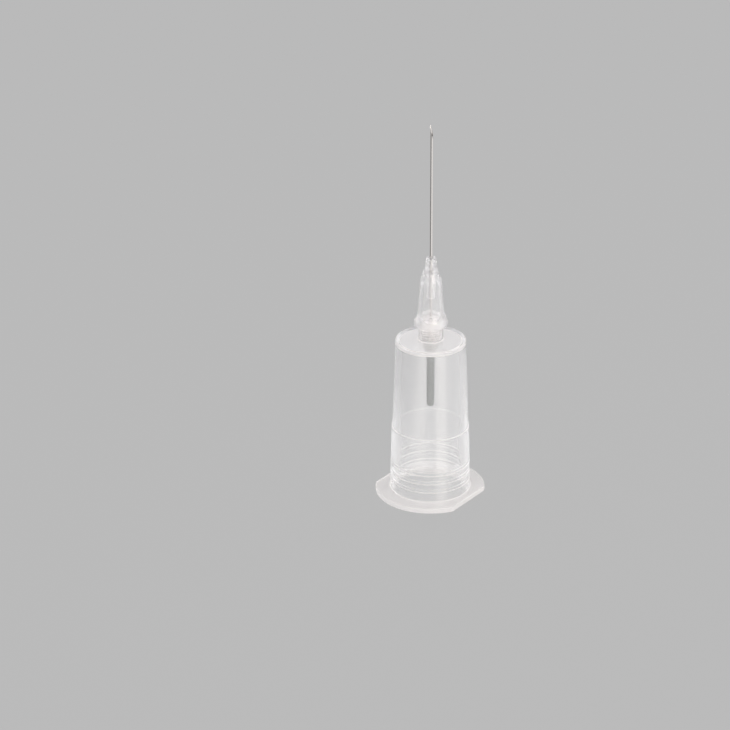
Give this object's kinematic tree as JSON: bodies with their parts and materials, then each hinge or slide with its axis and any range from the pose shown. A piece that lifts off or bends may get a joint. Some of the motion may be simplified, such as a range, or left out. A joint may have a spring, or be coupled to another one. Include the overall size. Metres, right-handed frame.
{
  "type": "blood collection needle with tube holder",
  "caption": "Steel blood collection needle with a clear flash-window hub, screwed into a clear plastic tube holder with a flat-sided flange.",
  "frame": {"origin": "on the needle's axis, in the plane of the flange's underside that the holder stands on", "axes": "+Z along the needle towards its point; +X square to one of the flange's two flats, the way the point's ground face looks"},
  "size_m": [0.027, 0.0312, 0.1094],
  "materials": {
    "holder_plastic": "clear moulded polypropylene, slightly milky",
    "hub_plastic": "clear moulded plastic, polished",
    "thread_plastic": "clear moulded plastic",
    "needle_steel": "drawn and electropolished",
    "adhesive": "clear cured glue",
    "sleeve_rubber": "matt grey rubber"
  },
  "bodies": {
    "tube_holder": {"holder": "holder_plastic"},
    "needle_unit": {"window_hub": "hub_plastic", "front_cannula": "needle_steel", "front_adhesive": "adhesive", "rear_hub": "thread_plastic", "rear_cannula": "needle_steel", "rear_adhesive": "adhesive"},
    "sleeve": {"rubber_sleeve": "sleeve_rubber"}
  },
  "joints": [
    {"name": "needle_release", "type": "slide", "parent": "tube_holder", "child": "needle_unit", "axis": [0, 0, 1], "range_m": [0, 0.03]},
    {"name": "sleeve_press", "type": "slide", "parent": "needle_unit", "child": "sleeve", "axis": [0, 0, 1], "range_m": [0, 0.012], "stiffness_N_per_m": 200, "deforming": ["rubber_sleeve"]}
  ]
}
